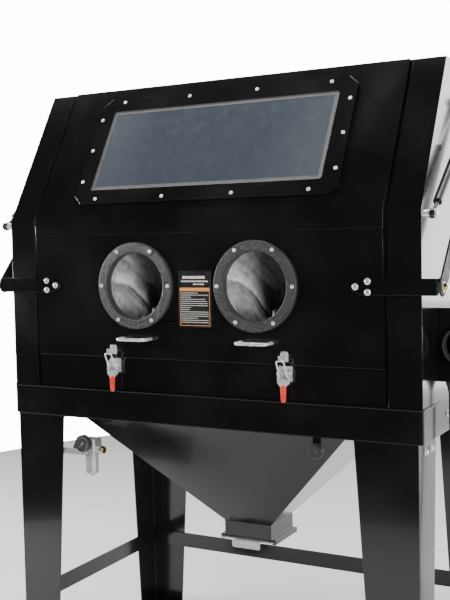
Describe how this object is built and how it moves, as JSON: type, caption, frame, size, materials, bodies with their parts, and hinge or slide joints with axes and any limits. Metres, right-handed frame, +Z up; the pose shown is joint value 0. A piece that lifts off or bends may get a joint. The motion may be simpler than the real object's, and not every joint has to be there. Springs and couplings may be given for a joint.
{
  "type": "sandblast cabinet",
  "caption": "Floor-standing sheet-metal blasting cabinet with sloped window, gloved lift-up front door on arms and gas struts, hopper, toggle latches and suction box.",
  "frame": {"origin": "centre of the four anchor holes in the feet, on the floor", "axes": "+X to the operator's right, +Y from the front to the back, +Z up"},
  "size_m": [1.413, 0.7555, 1.7331],
  "materials": {
    "black_enamel": "gloss",
    "white_enamel": "satin",
    "seal_rubber": "matt",
    "window_glass": "clear",
    "zinc_steel": "zinc plated",
    "grey_plastic": "grained",
    "glove_rubber": "satin",
    "plate_print": "printed",
    "strut_black": "satin",
    "chrome_rod": "polished",
    "red_vinyl": "dipped vinyl",
    "black_plastic": "moulded",
    "lead_rubber": "satin",
    "cast_silver": "die cast",
    "lamp_lens": "frosted"
  },
  "bodies": {
    "cabinet": {"air_regulator": "cast_silver", "back_panel": "black_enamel", "blast_gun": "cast_silver", "front_frame": "black_enamel", "hood_front": "black_enamel", "hopper": "black_enamel", "hopper_outlet": "black_enamel", "latch_base_left": "zinc_steel", "latch_base_right": "zinc_steel", "lead_coil": "lead_rubber", "lead_gland": "black_plastic", "leg_back_left": "black_enamel", "leg_back_right": "black_enamel", "leg_braces": "black_enamel", "leg_front_left": "black_enamel", "leg_front_right": "black_enamel", "light_housing": "white_enamel", "light_lens": "lamp_lens", "lower_front_strip": "black_enamel", "mains_lead": "lead_rubber", "mains_plug": "black_plastic", "regulator_gauge": "black_plastic", "side_panel_left": "black_enamel", "side_panel_right": "black_enamel", "side_pivot_bolts": "zinc_steel", "suction_box": "black_enamel", "suction_collar": "grey_plastic", "top_panel": "black_enamel", "tray_skirt": "black_enamel", "window_frame": "black_enamel", "window_gasket": "seal_rubber", "window_glass": "window_glass", "window_screws": "zinc_steel", "work_grate": "zinc_steel"},
    "lift_arms": {"swing_arm_left": "black_enamel", "swing_arm_right": "black_enamel"},
    "front_door": {"door_panel": "black_enamel", "door_seal": "seal_rubber", "port_ring_left": "grey_plastic", "port_ring_right": "grey_plastic", "port_screws": "zinc_steel", "glove_left": "glove_rubber", "glove_right": "glove_rubber", "door_handles": "zinc_steel", "latch_catches": "zinc_steel", "info_plate": "plate_print", "hanger_bracket_left": "black_enamel", "hanger_bracket_right": "black_enamel", "bracket_bolts": "zinc_steel"},
    "strut_tube_pair": {"strut_tubes": "strut_black"},
    "strut_rod_pair": {"strut_rods": "chrome_rod"},
    "latch_lever_left": {"latch_lever_left": "zinc_steel", "latch_grip_left": "red_vinyl"},
    "latch_lever_right": {"latch_lever_right": "zinc_steel", "latch_grip_right": "red_vinyl"},
    "latch_loop_left": {"latch_loop_left": "zinc_steel"},
    "latch_loop_right": {"latch_loop_right": "zinc_steel"},
    "outlet_gate": {"dump_gate": "zinc_steel"},
    "regulator_knob": {"regulator_knob": "black_plastic"},
    "flow_knob": {"flow_knob": "black_plastic"}
  },
  "joints": [
    {"name": "arm_swing", "type": "hinge", "parent": "cabinet", "child": "lift_arms", "pos_m": [0, 0.08, 1.64], "axis": [-1, 0, 0], "range_deg": [0, 75]},
    {"name": "door_tilt", "type": "hinge", "parent": "lift_arms", "child": "front_door", "pos_m": [0, -0.335, 1.168], "axis": [-1, 0, 0], "range_deg": [-76, 1]},
    {"name": "strut_lean", "type": "hinge", "parent": "cabinet", "child": "strut_tube_pair", "pos_m": [0, -0.34, 1.338], "axis": [1, 0, 0], "range_deg": [-0.5, 5]},
    {"name": "strut_stroke", "type": "slide", "parent": "strut_tube_pair", "child": "strut_rod_pair", "axis": [0, 0.7965, 0.6047], "range_m": [-0.001, 0.045]},
    {"name": "outlet_gate_slide", "type": "slide", "parent": "cabinet", "child": "outlet_gate", "axis": [0, -1, 0], "range_m": [0, 0.13]},
    {"name": "regulator_knob_turn", "type": "hinge", "parent": "cabinet", "child": "regulator_knob", "pos_m": [-0.364, -0.324, 0.702], "axis": [-1, 0, 0], "range_deg": [0, 1080]},
    {"name": "flow_knob_turn", "type": "hinge", "parent": "cabinet", "child": "flow_knob", "pos_m": [0.341, -0.35, 0.762], "axis": [0, -1, 0], "range_deg": [0, 270]},
    {"name": "latch_lever_left_lift", "type": "hinge", "parent": "cabinet", "child": "latch_lever_left", "pos_m": [-0.258, -0.358, 0.95], "axis": [-1, 0, 0], "range_deg": [0, 80]},
    {"name": "latch_loop_left_swing", "type": "hinge", "parent": "latch_lever_left", "child": "latch_loop_left", "pos_m": [-0.258, -0.362, 0.941], "axis": [-1, 0, 0], "range_deg": [-105, 1]},
    {"name": "latch_lever_right_lift", "type": "hinge", "parent": "cabinet", "child": "latch_lever_right", "pos_m": [0.258, -0.358, 0.95], "axis": [-1, 0, 0], "range_deg": [0, 80]},
    {"name": "latch_loop_right_swing", "type": "hinge", "parent": "latch_lever_right", "child": "latch_loop_right", "pos_m": [0.258, -0.362, 0.941], "axis": [-1, 0, 0], "range_deg": [-105, 1]}
  ],
  "couplings": [
    {"joint": "door_tilt", "follows": "arm_swing", "ratio": -1},
    {"joint": "strut_lean", "follows": "arm_swing", "ratio": 0.045},
    {"joint": "strut_stroke", "follows": "arm_swing", "m_per_rad": 0.02849},
    {"joint": "latch_loop_left_swing", "follows": "latch_lever_left_lift", "ratio": -1.3},
    {"joint": "latch_loop_right_swing", "follows": "latch_lever_right_lift", "ratio": -1.3}
  ]
}
